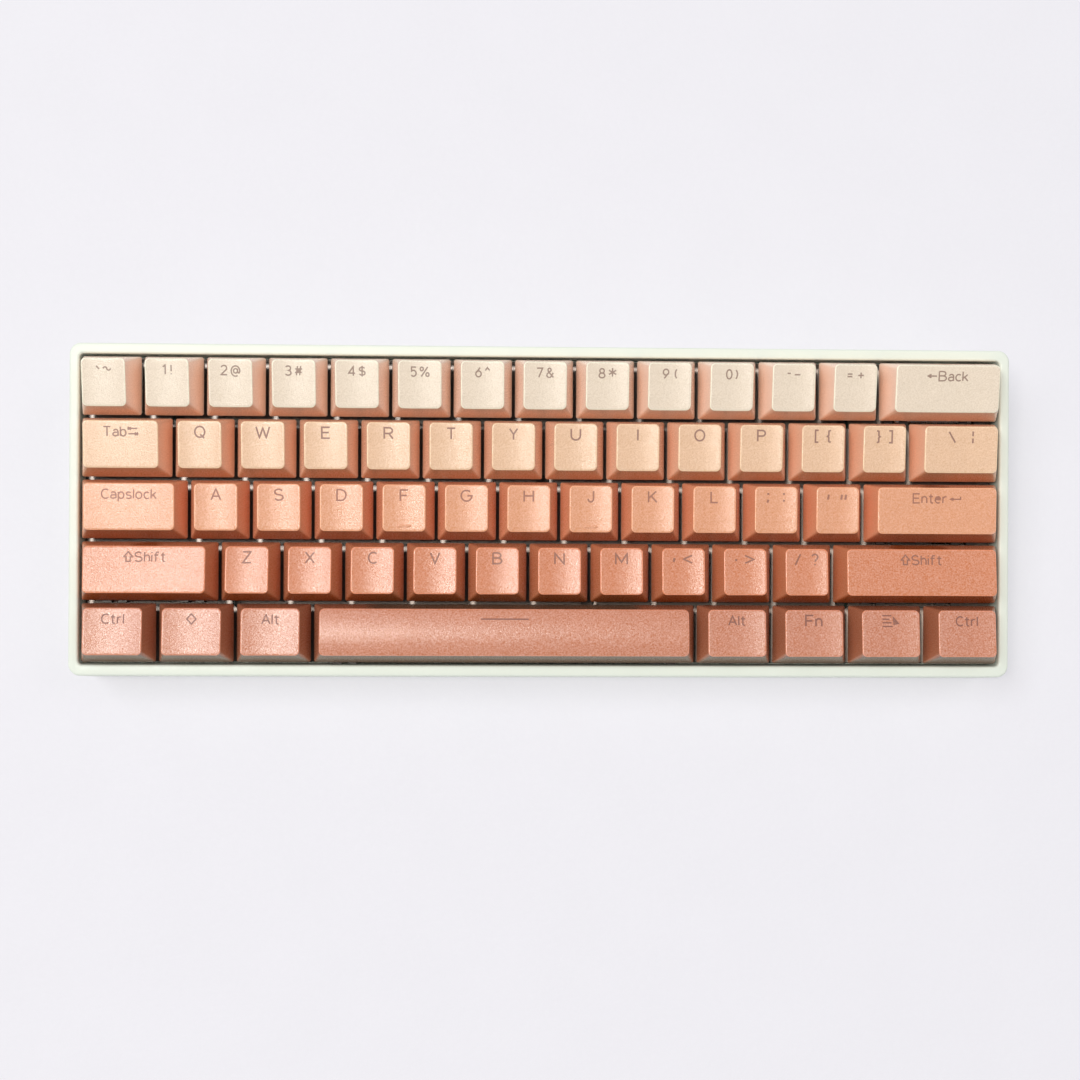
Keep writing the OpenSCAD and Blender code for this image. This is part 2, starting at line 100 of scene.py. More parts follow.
# Width of a stem's slider, the slack in it, and a width between those of stems and caps
SLIDER_WIDTH = 7.1
SLIDER_SLACK = 0.1
WIDEST_STEM = 12

# Resolution of a cap's top: columns of a cap up to the narrow width, width of a column, rows
NARROW_COLUMNS = 8
NARROW_WIDTH = 20
COLUMN_WIDTH = 2.4
TOP_ROWS = 6
CORNER_STEPS = 3
# Rings of points round the top's edge, in degrees, and down the sides, as shares of the way up
EDGE_TURNS = (60, 30, 0)
SIDE_SHARES = (0.8, 0.5, 0.2, 0.02)
# Share of the way up at which the walls have the outline of the hollow's ceiling
CEILING_SHARE = 0.86

# The raised bar on F and J; its ends shrink to a share of its middle
BAR_LENGTH = 4.4
BAR_WIDTH = 0.9
BAR_INSET = 1.7
BAR_HEIGHT = 0.36
BAR_SUNK = 0.06
BAR_END_SHARE = 0.35
POINTS_ALONG_BAR = 9
POINTS_ACROSS_BAR = 7

# A switch's spring, above the top of the switch plate
SPRING_LOW = -4.0
SPRING_HIGH = 4.6
SPRING_TURNS = 9
COIL_RADIUS = 2.05
WIRE_RADIUS = 0.15
# How much closer together its turns lie at its ends, and its resolution
SPRING_CROWDING = 0.1
STEPS_PER_TURN = 10
WIRE_SIDES = 4

# The tray's rim: the radius of its edges, their segments, and how far below its top they may start
RIM_RADIUS = 0.75
RIM_SEGMENTS = 4
RIM_SLACK = 0.01

# ---- Legends, in millimetres ----

# Each glyph is drawn with strokes on a field whose capitals are 1 high. A stroke is a chain of
# points "x,y" and of arcs "centre_x:centre_y:radius_x:radius_y:from:to" in degrees.
GLYPHS = {
    "A": "0,0 .42,1 .85,0|.14,.33 .71,.33",
    "B": "0,1 0,0 .45:.265:.35:.265:-90:90 0,.53|0,.53 .42:.765:.3:.235:-90:90 0,1",
    "C": ".45:.5:.45:.5:50:310",
    "D": "0,0 0,1 .33:.5:.5:.5:90:-90 0,0",
    "E": ".73,1 0,1 0,0 .73,0|0,.52 .64,.52",
    "F": ".7,1 0,1 0,0|0,.5 .6,.5",
    "G": ".5:.5:.5:.5:48:360 .58,.5",
    "H": "0,0 0,1|.85,0 .85,1|0,.52 .85,.52",
    "I": "0,0 0,1",
    "J": ".5,1 .25:.28:.25:.28:0:-180",
    "K": "0,0 0,1|.7,1 0,.36|.24,.58 .77,0",
    "L": "0,1 0,0 .63,0",
    "M": "0,0 0,1 .53,.2 1.06,1 1.06,0",
    "N": "0,0 0,1 .85,0 .85,1",
    "O": ".45:.5:.45:.5:0:360",
    "P": "0,0 0,1 .42:.74:.28:.26:90:-90 0,.48",
    "Q": ".45:.5:.45:.5:0:360|.5,.26 .85,-.08",
    "R": "0,0 0,1 .45:.74:.3:.26:90:-90 0,.48|.42,.48 .79,0",
    "S": ".38:.75:.35:.25:25:270 .4:.25:.39:.25:90:-155",
    "T": "0,1 .75,1|.375,1 .375,0",
    "U": "0,1 .425:.38:.425:.38:180:360 .85,1",
    "V": "0,1 .42,0 .85,1",
    "W": "0,1 .3,0 .61,.9 .92,0 1.23,1",
    "X": "0,1 .8,0|.8,1 0,0",
    "Y": "0,1 .36,.48 .72,1|.36,.48 .36,0",
    "Z": "0,1 .72,1 0,0 .75,0",
    "a": ".06,.56 .3:.45:.25:.25:120:0 .55,0|.55,.4 .27:.2:.27:.2:90:270 .55,.1",
    "b": "0,1 0,0|.3:.35:.3:.35:0:360",
    "c": ".32:.35:.32:.35:50:310",
    "e": "0,.37 .6,.37 .3:.35:.3:.35:10:310",
    "f": ".5,.98 .35:.8:.17:.2:90:180 .18,0|0,.7 .45,.7",
    "h": "0,0 0,1|.27:.42:.27:.28:180:0 .54,0",
    "i": "0,0 0,.7|0,.9 0,1.02",
    "k": "0,0 0,1|.5,.68 0,.25|.18,.42 .55,0",
    "l": "0,0 0,1",
    "n": "0,0 0,.7|.27:.42:.27:.28:180:0 .54,0",
    "o": ".32:.35:.32:.35:0:360",
    "p": "0,.7 0,-.3|.3:.35:.3:.35:0:360",
    "r": "0,0 0,.7|.3:.4:.3:.3:180:70",
    "s": ".27:.52:.24:.18:30:270 .27:.17:.27:.17:90:-150",
    "t": ".2,.95 .35:.15:.15:.15:180:270 .45,0|0,.7 .45,.7",
    "0": ".3:.5:.3:.5:0:360",
    "1": "0,.78 .25,1 .25,0",
    "2": ".32:.72:.3:.28:165:-35 0,0 .65,0",
    "3": ".3:.76:.28:.24:150:-90 .3:.26:.32:.26:90:-150",
    "4": ".5,0 .5,1 0,.28 .68,.28",
    "5": ".58,1 .1,1 .3:.32:.3:.32:130:-140",
    "6": ".5,1 .08,.45|.32:.32:.3:.32:0:360",
    "7": "0,1 .62,1 .2,0",
    "8": ".32:.76:.25:.24:0:360|.32:.26:.32:.26:0:360",
    "9": ".14,0 .56,.55|.32:.68:.3:.32:0:360",
    "`": "0,.85 .3,.5",
    "~": ".2:.56:.2:.17:180:0 .6:.56:.2:.17:180:360",
    "!": "0,1 0,.32|0,.1 0,-.02",
    "@": ".48:.4:.48:.56:-60:-360 .88,.2 .72,.22|.48:.42:.22:.24:0:360|.71,.66 .71,.22",
    "#": ".27,1 .14,0|.62,1 .49,0|0,.68 .78,.68|-.03,.32 .73,.32",
    "$": ".34:.72:.3:.2:25:270 .34:.3:.32:.22:90:-155|.34,1.08 .34,-.08",
    "%": ".82,1.02 .12,-.02|.17:.8:.17:.2:0:360|.8:.19:.17:.2:0:360",
    "^": "0,.7 .24,1 .48,.7",
    "&": ".75,0 .16,.68 .32:.82:.17:.18:220:-40 .08,.4 .3:.22:.28:.22:150:300 .72,.5",
    "*": ".4,1.08 .4,.14|0,.84 .8,.38|0,.38 .8,.84",
    "(": ".5:.5:.42:.62:128:232",
    ")": "-.26:.5:.42:.62:52:-52",
    "-": "0,.66 .36,.66",
    "_": "0,.52 .62,.52",
    "=": "0,.64 .55,.64|0,.36 .55,.36",
    "+": "0,.5 .62,.5|.31,.82 .31,.18",
    "[": ".28,1.05 0,1.05 0,-.05 .28,-.05",
    "]": "0,1.05 .28,1.05 .28,-.05 0,-.05",
    "{": ".3,1.05 .12,.98 .12,.6 0,.5 .12,.4 .12,.02 .3,-.05",
    "}": "0,1.05 .18,.98 .18,.6 .3,.5 .18,.4 .18,.02 0,-.05",
    "\\": "0,1 .6,0",
    "¦": "0,1.05 0,.6|0,.4 0,-.05",
    ";": "0,.92 0,.74|.02,.3 -.08,.02",
    ":": "0,.92 0,.74|0,.3 0,.12",
    "'": "0,.8 -.08,.34",
    '"': "0,.8 -.08,.34|.38,.8 .3,.34",
    ",": "0,.6 -.08,.24",
    "<": ".8,.85 0,.5 .8,.15",
    ".": "0,.52 0,.34",
    ">": "0,.85 .8,.5 0,.15",
    "/": "0,0 .5,1",
    "?": ".3:.75:.27:.25:165:-60 .3,.32|.3,.1 .3,-.02",
    "←": "1,.5 .05,.5|.38,.68 0,.5 .38,.32",
    "⇆": "0,1 0,.64|0,.82 1,.82|.3,.95 0,.82 .3,.69|1,.42 1,.06|0,.24 1,.24|.7,.37 1,.24 .7,.11",
    "↵": "1.1,.7 1.1,.42 .05,.42|.32,.56 0,.42 .32,.28",
    "⇧": ".25,0 .25,.5 0,.5 .47,1.05 .94,.5 .69,.5 .69,0 .25,0",
    "≡": "0,1 .85,1|0,.67 .66,.67|0,.34 .85,.34|0,0 .95,0|1.02,.85 1.1,.2 1.5,.28 1.02,.85|1.12,.55 1.3,.3",
    "◇": ".45,1.05 .95,.5 .45,-.05 -.05,.5 .45,1.05",
    "─": "0,.6 5.2,.6",
}
# Width of a stroke, and the shares of it that small legends and some glyphs take
STROKE = 0.5
SMALL_STROKE_SHARE = 0.85
STROKE_SHARES = {";": 1.3, ":": 1.3, "'": 1.3, '"': 1.3, ",": 1.3, ".": 1.3, "≡": 0.8}
# Distance of a legend's middle from the top's back edge, and how far it stands out and goes in
LEGEND_DROP = 3.35
LEGEND_PROUD = 0.015
LEGEND_SUNK = 0.08
# Heights of the capitals, and gaps as shares of them
LETTER_SIZE = 3.3
SYMBOL_SIZE = 2.75
WORD_SIZE = 2.8
GLYPH_GAP = 0.25
SPACE = 0.2
# Degrees between the points of an arc, and limits for the distance between points of a stroke
ARC_STEP = 22
SHORTEST_STEP = 0.02
LONGEST_STEP = 0.8
# The most that a stroke is widened where it turns is one over this
SHARPEST_MITRE = 0.5

# The caps of each shared key node from left to right and back to front: name, legend
SHARED_NODES = {
    "number_row_keys": [
        ("backtick", "` ~"), ("one", "1  !"), ("two", "2 @"), ("three", "3 #"), ("four", "4 $"),
        ("five", "5 %"), ("six", "6 ^"), ("seven", "7 &"), ("eight", "8 *"), ("nine", "9  ("),
        ("zero", "0 )"), ("minus", "- _"), ("equals", "=  +"),
    ],
    "punctuation_keys": [
        ("left_bracket", "[   {"), ("right_bracket", "}   ]"), ("semicolon", ";      :"),
        ("apostrophe", "'     \""), ("comma", ",   <"), ("full_stop", ".   >"), ("slash", "/    ?"),
    ],
    "right_modifier_keys": [("right_alt", "Alt"), ("fn", "Fn"), ("menu", "≡"), ("right_ctrl", "Ctrl")],
}
NAMED_KEYS = {
    "backspace_key": "←Back", "tab_key": "Tab⇆", "backslash_key": "\\       ¦", "caps_lock_key": "Capslock",
    "enter_key": "Enter ↵", "left_shift_key": "⇧Shift", "right_shift_key": "⇧Shift",
    "left_ctrl_key": "Ctrl", "diamond_key": "◇", "left_alt_key": "Alt", "space_bar": "─",
}

# ---- Colours, as sRGB ----

# Shares of the row's colour: the front at its top and foot, painted shade that is darkest under the top's
# edge and lighter at the foot; the skirt's edge and the top's rounded edge, lightened as painted highlights
FRONT_SHADE = (0.8, 1.15)
SKIRT_EDGE_HIGHLIGHT = 1.35
TOP_EDGE_HIGHLIGHT = 1.3
# Where the painted highlight of the top's edge ends and that of the skirt's edge starts, in the paint
# values of cap_mesh
TOP_END = 0.7
SKIRT_EDGE = 1.99
# Width in millimetres of the change from a side's colour to the front's painted shade
CORNER_BLEND = 0.8
# The rows run from the back of the keyboard to the front
CAP_TOPS = ["#F0DFC8", "#EFC7A3", "#E8A67F", "#D98C67", "#D08B6E"]
CAP_SIDES = ["#FFDFC9", "#F5C2A2", "#E79D77", "#D0845E", "#B37153"]
# The fronts: the sides' colour darkened, painted shade
SHADED_CAP_FRONTS = ["#F4C7A8", "#DC9E76", "#BB6F4C", "#AA5628", "#7E614C"]
LEGEND_INKS = ["#A18878", "#A0796A", "#A9735E", "#9C6A57", "#8F5F50"]
# Painted glints: how much the satin's grain lightens or darkens a top's colour, more in the front rows, and
# the share of it on the walls
PAINTED_GLINTS = [0.06, 0.07, 0.075, 0.09, 0.105]
WALL_GLINT_SHARE = 0.2

# ---- Meshes ----

# Edges sharper than this, in degrees, are shaded as edges, and rounded on the tray's rim
SHARP = 35
# The same, for the shading of the rounded tray and of the springs' square wire
TRAY_SHARP = 40
SPRING_SHARP = 60
# Faces that meet at less than this, in degrees, are one face
FLAT = 0.5

# ---- Materials ----

# The part of a noise's range that is spread over a material's range
NOISE_RANGE = (0.3, 0.7)
# Noise scale of a material's uneven colour, per metre, and its fine grain's scale times its size
BROAD_SCALE = 40
GRAIN_SCALE = 0.8
# How far the grain takes the roughness down and up, and how strongly the noises bump the surface
GLOSS_SPREAD = (0.06, 0.08)
BROAD_BUMP = 0.15
GRAIN_BUMP = 0.6

# The caps' plastic: noise scales per metre, depths of its two grains in millimetres
CAP_CLOUD_SCALE = 160
CAP_COARSE_SCALE = 2200
CAP_FINE_SCALE = 4500
CAP_COARSE_DEPTH = 0.06
CAP_FINE_DEPTH = 0.04
# The range of its clouds as shares of the colour, its roughness and its specular level
CAP_CLOUD = (0.98, 1.02)
CAP_ROUGHNESS = (0.2, 0.34)
CAP_SPECULAR = 0.9

# Name, colour, roughness, size and depth of the grain in metres, then unevenness of the colour
TRAY_FINISH = ("tray_plastic", "#EBF2E5", 0.42, 0.0005, 0.00003, 0.012)
FLOOR_FINISH = ("floor_paper", "#B5B4B9", 0.85, 0.002, 0.0002, 0.01)
STEM_FINISH = ("stem_plastic", "#8A5A44", 0.32, 0.0004, 0.00002)
SPRING_FINISH = ("spring_steel", "#B9B9B4", 0.3, 0.0004, 0.00001)
INK_FINISH = (0.45, 0.0003, 0.00002)
# The CAD nodes that stay, by name or by the end of the name
NODE_FINISHES = {
    # The plate is white, but painted a dark brown-grey: painted shade in the gaps, where the gap light
    # makes its bright spots
    "switch_plate": ("plate_paint", "#5E5249", 0.5, 0.0003, 0.00004, 0.02),
    "circuit_board": ("board_mask", "#1E3B2C", 0.3, 0.001, 0.00004, 0.1),
    "switch_lower_housings": ("lower_plastic", "#F0F0EC", 0.35, 0.0004, 0.00002),
    "switch_upper_housings": ("upper_plastic", "#E4E8E6", 0.3, 0.0004, 0.00002),
    "key_leds": ("led_resin", "#F7F3D8", 0.2, 0.0004, 0.00001),
    "board_components": ("chip_epoxy", "#2B2B2D", 0.5, 0.0003, 0.00002),
    "stabiliser_housings": ("stabiliser_plastic", "#4A4440", 0.38, 0.0004, 0.00002),
    # The screws take the plate's painted shade, dark and dull though they are steel
    "case_screws": ("screw_steel", "#5E5249", 0.55, 0.0005, 0.00002),
    "rubber_feet": ("foot_rubber", "#3A3A38", 0.75, 0.0004, 0.00005, 0.1),
    "flip_foot": ("foot_plastic", "#E9EBE1", 0.45, 0.0005, 0.00004, 0.015),
}
METAL_FINISHES = {
    "switch_contacts": ("contact_brass", "#C8A050", 0.3, 0.0004, 0.00001),
    "usb_socket": ("socket_steel", "#C9CACC", 0.28, 0.0006, 0.00002),
    "wire": ("wire_steel", "#BDBDBB", 0.25, 0.0005, 0.00001),
}

# ---- Studio: metres, watts, and linear colours ----

# Name, direction towards the light, distance, width and depth, power, colour
LIGHTS = [
    ("lamp", (-0.28, -0.03, 1), 2.2, (0.28, 0.7), 17, (1, 0.96, 0.88)),
    ("window", (-0.56, 0.24, 1), 5.0, (2.4, 2.0), 71, (0.98, 0.98, 1)),
    ("fill", (0.7, 0.3, 0.9), 5.0, (2.4, 2.0), 25, (1, 0.98, 0.96)),
]
GAP_LIGHT = ("gap_light", (-0.3, 0.25, 1), 2.2, (0.3, 0.3), 260, (1, 0.98, 0.95))
ROOM_COLOUR = (0.93, 0.94, 1.0, 1)
ROOM_STRENGTH = 0.43
# The floor's half width, and how far it lies below the desk plane so that it doesn't meet the feet
FLOOR_HALF = 4.0
FLOOR_DROP = 0.0003
FLOOR_GLOW = (0.98, 0.97, 1.0, 1)
FLOOR_GLOW_STRENGTH = 0.4
# The camera as it was fitted to the photograph, in millimetres; its turn is a rotation vector in degrees
CAMERA_SENSOR = 36
CAMERA_LENS = 47.82
CAMERA_TURN = (6.04, -1.83, 0.18)
CAMERA_PLACE = (-15.2, -55.8, 468.3)


def linear(colour):
    """A hexadecimal sRGB colour as linear red, green and blue."""
    parts = [int(colour[i:i + 2], 16) / 255 for i in (1, 3, 5)]
    return np.array([p / 12.92 if p <= 0.04045 else ((p + 0.055) / 1.055) ** 2.4 for p in parts])


# ---- Where things are, from the frame ----

def points_of(node):
    """The corners of a CAD node's mesh, in metres in the row frame."""
    mesh = frame["nodes"][node].data
    points = np.empty(len(mesh.vertices) * 3)
    mesh.vertices.foreach_get("co", points)
    return points.reshape(-1, 3)


def press_joint(body):
    """The joint on which a key slides down."""
    return next(j for j in frame["joints"] if j["child"] == body)


def plate_matrix():
    """The tilted frame of the key field: its Z is 0 on the top of the switch plate."""
    down = np.array(press_joint("space_bar")["axis"])
    turn = Matrix.Rotation(math.atan2(down[1], -down[2]), 4, "X")
    flat = points_of("switch_plate") @ np.array(turn.to_3x3())
    middle = (flat.min(0) + flat.max(0)) / 2
    return turn @ Matrix.Translation((0, middle[1], flat[:, 2].max()))


PLATE = plate_matrix()


def on_plate(points):
    """Points of the row frame, in the tilted frame."""
    inverse = np.array(PLATE.inverted())
    return points @ inverse[:3, :3].T + inverse[:3, 3]


def solids_of(node):
    """The separate solids of a CAD node: a list of (points in the tilted frame, triangles)."""
    mesh = frame["nodes"][node].data
    points, welded = np.unique(np.round(on_plate(points_of(node)), 7), axis=0, return_inverse=True)
    mesh.calc_loop_triangles()
    triangles = np.empty(len(mesh.loop_triangles) * 3, int)
    mesh.loop_triangles.foreach_get("vertices", triangles)
    triangles = welded.reshape(-1)[triangles].reshape(-1, 3)
    label = np.arange(len(points))
    while True:
        lowest = label[triangles].min(1)
        spread = label.copy()
        for corner in range(3):
            np.minimum.at(spread, triangles[:, corner], lowest)
        spread = spread[spread]
        if (spread == label).all():
            break
        label = spread
    solids = []
    for root in np.unique(label[triangles[:, 0]]):
        chosen = triangles[label[triangles[:, 0]] == root]
        used, local = np.unique(chosen, return_inverse=True)
        solids.append((points[used], local.reshape(-1, 3)))
    return solids


def centre(solid):
    """The middle of a solid's box."""
    return (solid[0].min(0) + solid[0].max(0)) / 2


def width_of(solid):
    """The size of a solid along X, in metres."""
    return np.ptp(solid[0][:, 0])


def is_slider(solid):
    """Whether a solid is the part of a stem that slides in a switch."""
    return abs(width_of(solid) / MM - SLIDER_WIDTH) < SLIDER_SLACK


# ---- Mesh helpers ----

def new_piece(name, points, faces, matrix=None, sharp=SHARP):
    """A mesh object with smooth shading, except at edges sharper than the given angle."""
    mesh = bpy.data.meshes.new(name)
    mesh.from_pydata([tuple(p) for p in points], [], faces)
    mesh.validate()
    mesh.shade_smooth()
    mesh.set_sharp_from_angle(angle=math.radians(sharp))
    piece = bpy.data.objects.new(name, mesh)
    bpy.context.scene.collection.objects.link(piece)
    if matrix is not None:
        piece.matrix_world = matrix
    return piece


def joined(parts):
    """Several (points, faces) as one."""
    points, faces, first = [], [], 0
    for part_points, part_faces in parts:
        points.append(np.asarray(part_points))
        faces += [tuple(int(i) + first for i in face) for face in part_faces]
        first += len(part_points)
    return np.concatenate(points), faces


def plan_grid(half_w, half_d, radius, columns, rows):
    """X and Y of a grid that fills a rounded rectangle, whose border follows the rounded outline."""
    def lines(half, steps):
        corner = np.linspace(0, radius, CORNER_STEPS + 1)[:-1]
        straight = np.linspace(-half + radius, half - radius, steps + 1)
        return np.concatenate([-half + corner, straight, (half - corner)[::-1]])
    x, y = np.meshgrid(lines(half_w, columns), lines(half_d, rows), indexing="ij")
    inner_w, inner_d = half_w - radius, half_d - radius
    a = np.clip((abs(x) - inner_w) / radius, 0, 1)
    b = np.clip((abs(y) - inner_d) / radius, 0, 1)
    x = np.sign(x) * (np.minimum(abs(x), inner_w) + radius * a * np.sqrt(1 - b * b / 2))
    y = np.sign(y) * (np.minimum(abs(y), inner_d) + radius * b * np.sqrt(1 - a * a / 2))
    return x, y


def border(shape):
    """The indices along the border of a grid, anticlockwise from its lowest corner."""
    nx, ny = shape
    index = np.arange(nx * ny).reshape(nx, ny)
    return np.concatenate([index[:-1, 0], index[-1, :-1], index[:0:-1, -1], index[0, :0:-1]])


def grid_faces(shape):
    """The quads of a grid of points."""
    nx, ny = shape
    index = np.arange(nx * ny).reshape(nx, ny)
    corners = (index[:-1, :-1], index[1:, :-1], index[1:, 1:], index[:-1, 1:])
    return np.stack([c.ravel() for c in corners], axis=1).tolist()


def ring_faces(above, below):
    """Quads between two rings of indices, facing outwards if above is the upper one."""
    return [
        (above[i], below[i], below[(i + 1) % len(below)], above[(i + 1) % len(above)])
        for i in range(len(above))
    ]


# ---- Keycaps ----

class CapShape:
    """The outside of one keycap, in millimetres; Z is 0 at the bottom of the skirt."""

    def __init__(self, row, width, depth):
        self.front_h, self.back_h, self.front_inset, self.back_inset = ROW_SHAPES[row]
        self.half_w, self.half_d = width / 2, depth / 2
        self.top_half_w = self.half_w - SIDE_INSET
        self.top_half_d = self.half_d - (self.front_inset + self.back_inset) / 2
        self.top_y = (self.front_inset - self.back_inset) / 2
        self.crowned = width > SPACE_BAR_WIDTH
        self.mean_h = (self.front_h + self.back_h) / 2
        self.slope = (self.back_h - self.front_h) / (2 * self.top_half_d)
        self.ceiling = self.mean_h - CAP_ROOF - (0 if self.crowned else DISH_DEPTH)
        self.columns = NARROW_COLUMNS if width < NARROW_WIDTH else round(width / COLUMN_WIDTH)

    def top(self, x, y):
        """Height of the top surface."""
        along = y - self.top_y
        if self.crowned:
            radius = (self.top_half_d ** 2 + CROWN ** 2) / (2 * CROWN)
            lift = np.sqrt(radius ** 2 - np.minimum(abs(along), self.top_half_d) ** 2) - (radius - CROWN)
            return self.mean_h + self.slope * along - CROWN / 2 + lift
        reach = self.top_half_w + DISH_OVERRUN
        radius = (reach ** 2 + DISH_DEPTH ** 2) / (2 * DISH_DEPTH)
        return self.mean_h + self.slope * along + radius - DISH_DEPTH - np.sqrt(radius ** 2 - x ** 2)

    def ring(self, share, inset=0.0):
        """X and Y of the outline at a share of the way up the side, moved inwards by inset."""
        half_w = self.half_w - SIDE_INSET * share - inset
        half_d = self.half_d + (self.top_half_d - self.half_d) * share - inset
        radius = max(SKIRT_RADIUS + (TOP_RADIUS - SKIRT_RADIUS) * share - inset, SMALLEST_RADIUS)
        x, y = plan_grid(half_w, half_d, radius, self.columns, TOP_ROWS)
        return x, y + self.top_y * share


def cap_mesh(shape):
    """Points, faces and, for each point, its paint: 0 top, to 1 side, to 2 bottom of the skirt."""
    edge = border(shape.ring(0)[0].shape)
    x, y = shape.ring(1, EDGE_RADIUS)
    points = [np.stack([x, y, shape.top(x, y)], axis=-1).reshape(-1, 3)]
    paint = [np.zeros(x.size)]
    count = x.size
    faces = grid_faces(x.shape)
    upper = edge
    top_x, top_y = (v.ravel()[edge] for v in shape.ring(1))

    def add_ring(ring, side):
        nonlocal upper, count
        points.append(ring)
        paint.append(np.full(len(ring), side))
        lower = np.arange(count, count + len(ring))
        faces.extend(ring_faces(upper, lower))
        upper = lower
        count += len(ring)

    for turn in EDGE_TURNS:
        inset = EDGE_RADIUS * (1 - math.cos(math.radians(turn)))
        drop = EDGE_RADIUS * (1 - math.sin(math.radians(turn)))
        x, y = (v.ravel()[edge] for v in shape.ring(1, inset))
        add_ring(np.stack([x, y, shape.top(x, y) - drop], axis=-1), 1 - turn / 90)
    for share in SIDE_SHARES:
        x, y = (v.ravel()[edge] for v in shape.ring(share))
        add_ring(np.stack([x, y, (shape.top(top_x, top_y) - EDGE_RADIUS) * share], axis=-1), 2 - share)
    x, y = (v.ravel()[edge] for v in shape.ring(0, SKIRT_CHAMFER))
    add_ring(np.stack([x, y, np.zeros(len(x))], axis=-1), 2)
    x, y = (v.ravel()[edge] for v in shape.ring(0, CAP_WALL))
    add_ring(np.stack([x, y, np.zeros(len(x))], axis=-1), 2)
    x, y = (v.ravel()[edge] for v in shape.ring(CEILING_SHARE, CAP_WALL))
    add_ring(np.stack([x, y, shape.ceiling + shape.slope * (y - shape.top_y)], axis=-1), 2)
    faces.append(tuple(int(i) for i in upper[::-1]))
    return np.concatenate(points), faces, np.concatenate(paint)


def socket_mesh(x, z_low, z_high):
    """The round post under a keycap, with a cross-shaped socket for the switch's stem."""
    long, short = SOCKET_LENGTH / 2, SOCKET_WIDTH / 2
    quarter = [(long, -short), (long, short), (short, short)]
    inner = []
    for turn in range(4):
        c, s = round(math.cos(turn * math.pi / 2)), round(math.sin(turn * math.pi / 2))
        inner += [(px * c - py * s, px * s + py * c) for px, py in quarter]
    outline = len(inner)
    angles = [math.atan2(py, px) for px, py in inner]
    outer = [(BOSS_DIAMETER / 2 * math.cos(a), BOSS_DIAMETER / 2 * math.sin(a)) for a in angles]
    rings = [(outer, z_high), (outer, z_low), (inner, z_low), (inner, z_low + SOCKET_DEPTH)]
    points = [(x + px, py, z) for ring, z in rings for px, py in ring]
    faces = []
    for level in range(3):
        upper = np.arange(outline) + outline * level
        faces += ring_faces(upper, upper + outline)
    faces.append(tuple(range(outline)))
    faces.append(tuple(reversed(range(3 * outline, 4 * outline))))
    return np.array(points), faces


def bar_mesh(shape):
    """The raised bar that the forefingers find, on the top near its front edge."""
    middle_y = shape.top_y - shape.top_half_d + BAR_INSET
    across = np.radians(np.linspace(0, 180, POINTS_ACROSS_BAR))
    along = np.linspace(-BAR_LENGTH / 2, BAR_LENGTH / 2, POINTS_ALONG_BAR)
    points, faces = [], []
    for x in along:
        shrink = BAR_END_SHARE if x in (along[0], along[-1]) else 1
        for turn in across:
            y = middle_y - BAR_WIDTH / 2 * math.cos(turn) * shrink
            points.append((x, y, shape.top(x, y) + BAR_HEIGHT * math.sin(turn) * shrink - BAR_SUNK))
    steps = len(across)
    for i in range(len(along) - 1):
        first, second = i * steps, (i + 1) * steps
        faces += [(first + k, first + k + 1, second + k + 1, second + k) for k in range(steps - 1)]
        faces.append((first + steps - 1, first, second, second + steps - 1))
    faces.append(tuple(reversed(range(steps))))
    last = (len(along) - 1) * steps
    faces.append(tuple(range(last, last + steps)))
    return np.array(points), [f[::-1] for f in faces]


def painted(piece, row, shape, paint):
    """Stores each point's colour, with painted highlights on the rounded edges of the top and the skirt's
    foot, painted shade on the front, darkest under the top's edge and lighter towards its foot, and in the
    fourth channel how strong its painted glints are."""
    mesh = piece.data
    count = len(mesh.vertices)
    points = np.empty(count * 3)
    mesh.vertices.foreach_get("co", points)
    points = points.reshape(-1, 3) / MM
    top, side, front = (linear(c[row]) for c in (CAP_TOPS, CAP_SIDES, SHADED_CAP_FRONTS))
    gap_front = points[:, 1] + shape.half_d
    gap_side = shape.half_w - abs(points[:, 0])
    towards_front = np.clip((gap_side - gap_front) / CORNER_BLEND + 0.5, 0, 1)
    full = np.concatenate([paint, np.full(count - len(paint), 0.0)])[:, None]
    down = np.clip(full - 1, 0, 1)
    # Painted shade: the front is darker than the side, most of all just under the top's edge
    front = front * (FRONT_SHADE[0] + (FRONT_SHADE[1] - FRONT_SHADE[0]) * down)
    wall = side + (front - side) * towards_front[:, None]
    # Painted highlights: the skirt's foot and the top's rounded edge are lightened
    wall = np.where(full > SKIRT_EDGE, wall * SKIRT_EDGE_HIGHLIGHT, wall)
    rim = np.where((full > 0) & (full < TOP_END), top * TOP_EDGE_HIGHLIGHT, top)
    colours = np.minimum(np.where(full < TOP_END, rim, wall), 1)
    layer = mesh.color_attributes.new(name="paint", type="FLOAT_COLOR", domain="POINT")
    # Strength of the painted glints, weaker on the walls
    glint_strength = PAINTED_GLINTS[row] * np.where(full < 1, 1, WALL_GLINT_SHARE)
    layer.data.foreach_set("color", np.concatenate([colours, glint_strength], axis=1).ravel())


def make_cap(name, row, solid, matrix, material):
    """A hollow, painted keycap in the place of a CAD solid, and its shape."""
    size = (solid[0].max(0) - solid[0].min(0)) / MM
    shape = CapShape(row, size[0], size[1])
    points, faces, paint = cap_mesh(shape)
    parts = [(points, faces)]
    for x in post_places(size[0]):
        parts.append(socket_mesh(x, POST_LIFT, shape.ceiling + POST_SUNK))
    if name in ("f", "j"):
        parts.append(bar_mesh(shape))
    points, faces = joined(parts)
    piece = new_piece(name + "_cap", points * MM, faces, matrix)
    painted(piece, row, shape, paint)
    piece.data.materials.append(material)
    return piece, shape


def post_places(width):
    """Where a cap of this width in millimetres has posts: at its switch and its stabilisers."""
    if width < STABILISED_WIDTH:
        return [0]
    side = SPACE_BAR_REACH if width > SPACE_BAR_WIDTH else STABILISER_REACH
    return [-side, 0, side]


# ---- Legend strokes ----

